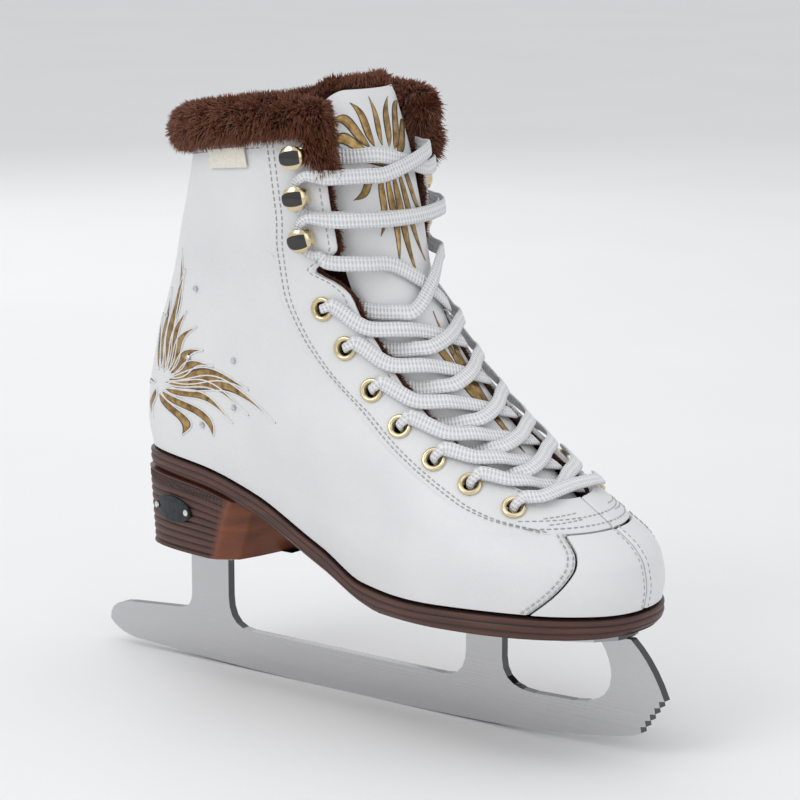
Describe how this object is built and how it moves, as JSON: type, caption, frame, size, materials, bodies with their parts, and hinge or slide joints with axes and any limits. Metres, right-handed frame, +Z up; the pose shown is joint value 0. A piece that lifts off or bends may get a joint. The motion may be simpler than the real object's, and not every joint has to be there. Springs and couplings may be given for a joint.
{
  "type": "figure skate",
  "caption": "Right-foot figure skate: white lace-up leather boot with fur collar on a stacked heel and layered sole, screwed-on steel blade with rear and front stanchions and toe picks.",
  "frame": {"origin": "the point where the blade rests on the ice, at the middle of its lowest edge", "axes": "+X towards the toe, along the blade; +Y towards the inner side of the foot, across the blade; +Z up"},
  "size_m": [0.293, 0.1018, 0.2569],
  "materials": {
    "white_leather": "smooth coated leather, very fine grain, low sheen",
    "brown_plush": "short dense artificial fur",
    "sole_brown": "layered stack look, fine horizontal ridges, satin",
    "board_tan": "pressed fibre board",
    "satin_steel": "satin ground steel with darker polished edges",
    "bright_steel": "bright plated screw heads",
    "pale_gold": "bright pale gold plating",
    "white_lace": "flat braided cotton",
    "lace_tip": "clear-coated tip",
    "dark_badge": "satin dark enamel",
    "cream_label": "woven tape"
  },
  "bodies": {
    "root": {"quarter_lateral": "white_leather", "toe_lateral": "white_leather", "facing_lining_lateral": "brown_plush", "aglet_lateral": "lace_tip", "eyelet_lateral_1": "pale_gold", "eyelet_lateral_2": "pale_gold", "eyelet_lateral_3": "pale_gold", "eyelet_lateral_4": "pale_gold", "eyelet_lateral_5": "pale_gold", "eyelet_lateral_6": "pale_gold", "eyelet_lateral_7": "pale_gold", "hook_lateral_1": "pale_gold", "hook_lateral_2": "pale_gold", "hook_lateral_3": "pale_gold", "quarter_medial": "white_leather", "toe_medial": "white_leather", "facing_lining_medial": "brown_plush", "aglet_medial": "lace_tip", "eyelet_medial_1": "pale_gold", "eyelet_medial_2": "pale_gold", "eyelet_medial_3": "pale_gold", "eyelet_medial_4": "pale_gold", "eyelet_medial_5": "pale_gold", "eyelet_medial_6": "pale_gold", "eyelet_medial_7": "pale_gold", "hook_medial_1": "pale_gold", "hook_medial_2": "pale_gold", "hook_medial_3": "pale_gold", "backstay": "white_leather", "lining": "brown_plush", "collar_fur": "brown_plush", "footbed": "brown_plush", "outsole": "sole_brown", "heel_block": "sole_brown", "insole_board": "board_tan", "blade": "satin_steel", "sole_plate": "satin_steel", "heel_plate": "satin_steel", "badge_rivet_rear": "satin_steel", "badge_rivet_front": "satin_steel", "sole_screw_1": "bright_steel", "sole_screw_2": "bright_steel", "sole_screw_3": "bright_steel", "sole_screw_4": "bright_steel", "sole_screw_5": "bright_steel", "sole_screw_6": "bright_steel", "heel_screw_1": "bright_steel", "heel_screw_2": "bright_steel", "heel_screw_3": "bright_steel", "heel_screw_4": "bright_steel", "lace": "white_lace", "heel_badge": "dark_badge", "side_label": "cream_label"},
    "tongue": {"tongue_leather": "white_leather", "tongue_lining": "brown_plush"}
  },
  "joints": [
    {"name": "tongue_bend", "type": "hinge", "parent": "root", "child": "tongue", "pos_m": [0.1145, 0.003, 0.0895], "axis": [0, 1, 0], "range_deg": [-8, 0]}
  ]
}
